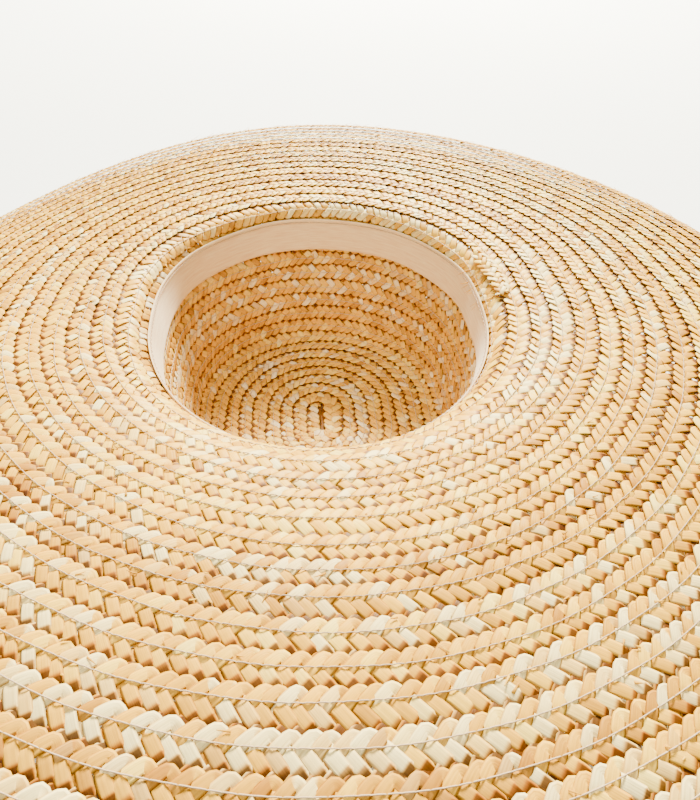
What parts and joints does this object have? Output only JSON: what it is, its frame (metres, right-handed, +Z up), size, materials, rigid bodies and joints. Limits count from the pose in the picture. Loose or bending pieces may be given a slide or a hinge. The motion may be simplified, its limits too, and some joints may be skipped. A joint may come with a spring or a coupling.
{
  "type": "straw sun hat",
  "caption": "Wide-brimmed straw sun hat sewn from flat plait, lying on its crown, with an oval head opening and a cloth sweatband.",
  "frame": {"origin": "centre of the crown's tip, on the surface that the hat lies on", "axes": "+Z up out of the head opening (the hat lies upside down), Y along the hat's front-to-back line, X across it"},
  "size_m": [0.5048, 0.5238, 0.1009],
  "materials": {
    "straw_brim": "matte",
    "straw_crown": "matte",
    "band_cloth": "matte",
    "thread": "matte"
  },
  "bodies": {
    "root": {"crown_button": "straw_crown", "tip_course_1": "straw_crown", "tip_course_2": "straw_crown", "tip_course_3": "straw_crown", "tip_course_4": "straw_crown", "tip_course_5": "straw_crown", "tip_course_6": "straw_crown", "side_course_1": "straw_crown", "side_course_2": "straw_crown", "side_course_3": "straw_crown", "side_course_4": "straw_crown", "side_course_5": "straw_crown", "side_course_6": "straw_crown", "side_course_7": "straw_crown", "side_course_8": "straw_crown", "side_course_9": "straw_crown", "brim_course_1": "straw_brim", "brim_course_2": "straw_brim", "brim_course_3": "straw_brim", "brim_course_4": "straw_brim", "brim_course_5": "straw_brim", "brim_course_6": "straw_brim", "brim_course_7": "straw_brim", "brim_course_8": "straw_brim", "brim_course_9": "straw_brim", "brim_course_10": "straw_brim", "brim_course_11": "straw_brim", "brim_course_12": "straw_brim", "brim_course_13": "straw_brim", "brim_course_14": "straw_brim", "brim_course_15": "straw_brim", "brim_course_16": "straw_brim", "braid_splice": "straw_brim", "sweatband": "band_cloth", "tip_stitching": "thread", "side_stitching": "thread", "brim_stitching": "thread", "sweatband_stitching": "thread"}
  },
  "joints": []
}
